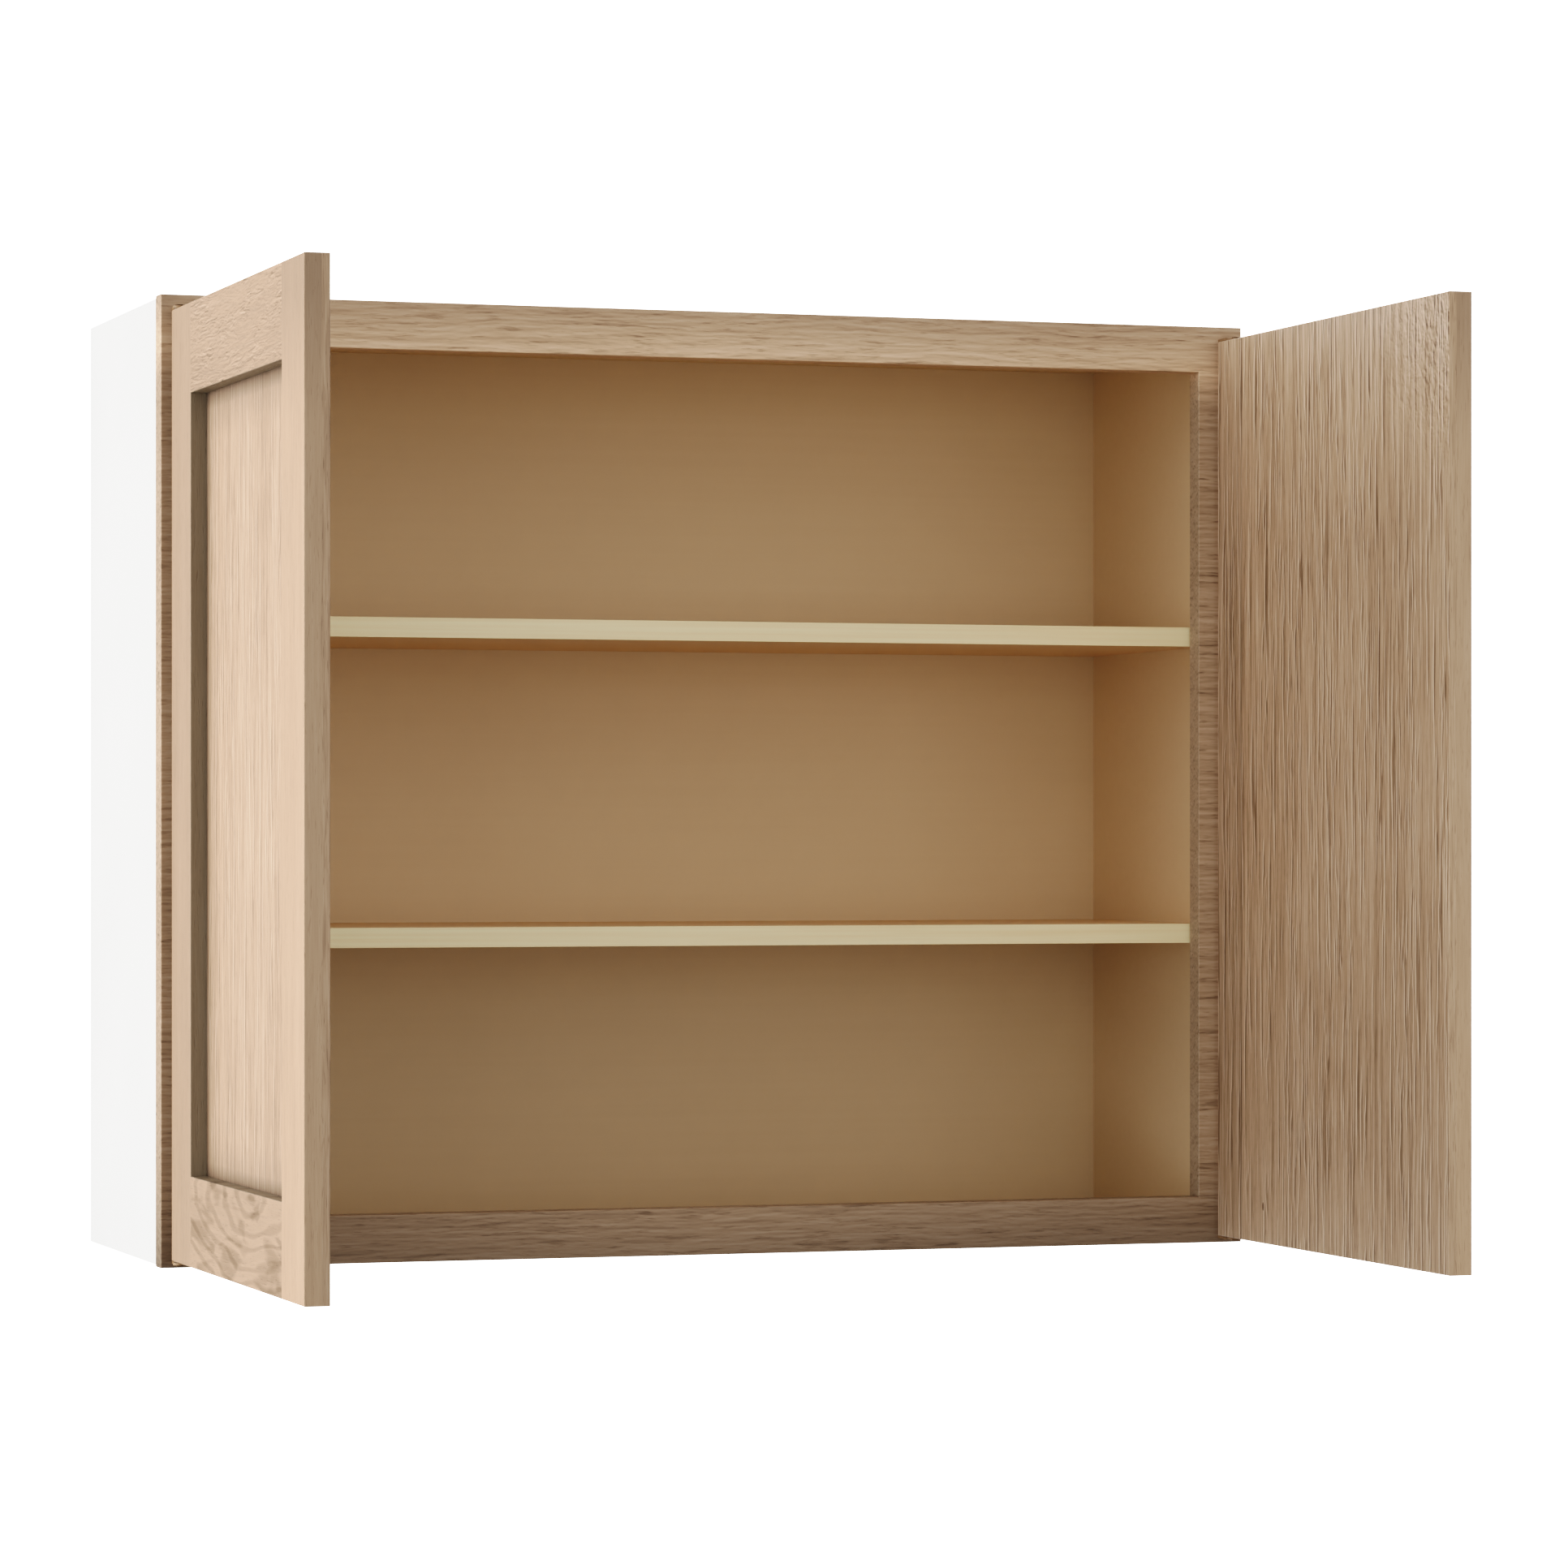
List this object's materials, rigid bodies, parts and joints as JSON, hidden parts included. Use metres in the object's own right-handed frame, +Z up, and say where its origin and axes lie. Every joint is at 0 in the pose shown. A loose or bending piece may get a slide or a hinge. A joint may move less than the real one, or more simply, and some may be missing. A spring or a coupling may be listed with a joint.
{
  "type": "hanging wall cabinet",
  "caption": "Face-framed hanging wall cabinet with fixed shelves and a pair of framed doors that swing on pivot hinges.",
  "frame": {"origin": "centre of the wall-screw pattern, on the wall plane, at the middle of the cabinet's width and height", "axes": "+X to the right of a person facing the doors, +Y into the wall, +Z up; the doors open towards -Y"},
  "size_m": [0.9144, 0.7647, 0.762],
  "materials": {
    "oak": "satin",
    "interior_laminate": "satin",
    "white_laminate": "satin",
    "edge_band": "satin",
    "beech_dowel": "raw",
    "rail_wood": "raw",
    "hinge_steel": "oak-brown lacquer, burnished pins",
    "nylon": "matte"
  },
  "bodies": {
    "cabinet": {"back_panel": "interior_laminate", "bottom_panel": "interior_laminate", "bottom_panel_dowels": "beech_dowel", "face_frame_bottom_rail": "oak", "face_frame_case_dowels": "beech_dowel", "face_frame_joint_dowels": "beech_dowel", "face_frame_left_stile": "oak", "face_frame_right_stile": "oak", "face_frame_top_rail": "oak", "hanging_rail_dowels": "beech_dowel", "hinge_frame_screws": "hinge_steel", "left_lower_hinge_frame_leaf": "hinge_steel", "left_lower_hinge_pin": "hinge_steel", "left_side_facing": "white_laminate", "left_side_panel": "interior_laminate", "left_upper_hinge_frame_leaf": "hinge_steel", "left_upper_hinge_pin": "hinge_steel", "lower_hanging_rail": "rail_wood", "lower_shelf": "interior_laminate", "lower_shelf_dowels": "beech_dowel", "lower_shelf_edge_band": "edge_band", "right_lower_hinge_frame_leaf": "hinge_steel", "right_lower_hinge_pin": "hinge_steel", "right_side_facing": "white_laminate", "right_side_panel": "interior_laminate", "right_upper_hinge_frame_leaf": "hinge_steel", "right_upper_hinge_pin": "hinge_steel", "top_panel": "interior_laminate", "top_panel_dowels": "beech_dowel", "upper_hanging_rail": "rail_wood", "upper_shelf": "interior_laminate", "upper_shelf_dowels": "beech_dowel", "upper_shelf_edge_band": "edge_band"},
    "left_door": {"left_door_back_sheet": "oak", "left_door_bottom_rail": "oak", "left_door_hinge_screws": "hinge_steel", "left_door_hinge_stile": "oak", "left_door_hinge_washers": "nylon", "left_door_latch_stile": "oak", "left_door_top_rail": "oak", "left_lower_hinge_door_leaf": "hinge_steel", "left_upper_hinge_door_leaf": "hinge_steel"},
    "right_door": {"right_door_back_sheet": "oak", "right_door_bottom_rail": "oak", "right_door_hinge_screws": "hinge_steel", "right_door_hinge_stile": "oak", "right_door_hinge_washers": "nylon", "right_door_latch_stile": "oak", "right_door_top_rail": "oak", "right_lower_hinge_door_leaf": "hinge_steel", "right_upper_hinge_door_leaf": "hinge_steel"}
  },
  "joints": [
    {"name": "left_door_hinge", "type": "hinge", "parent": "cabinet", "child": "left_door", "pos_m": [-0.44585, -0.32045, 0], "axis": [0, 0, 1], "range_deg": [-90, 90]},
    {"name": "right_door_hinge", "type": "hinge", "parent": "cabinet", "child": "right_door", "pos_m": [0.44585, -0.32045, 0], "axis": [0, 0, -1], "range_deg": [-90, 90]}
  ]
}
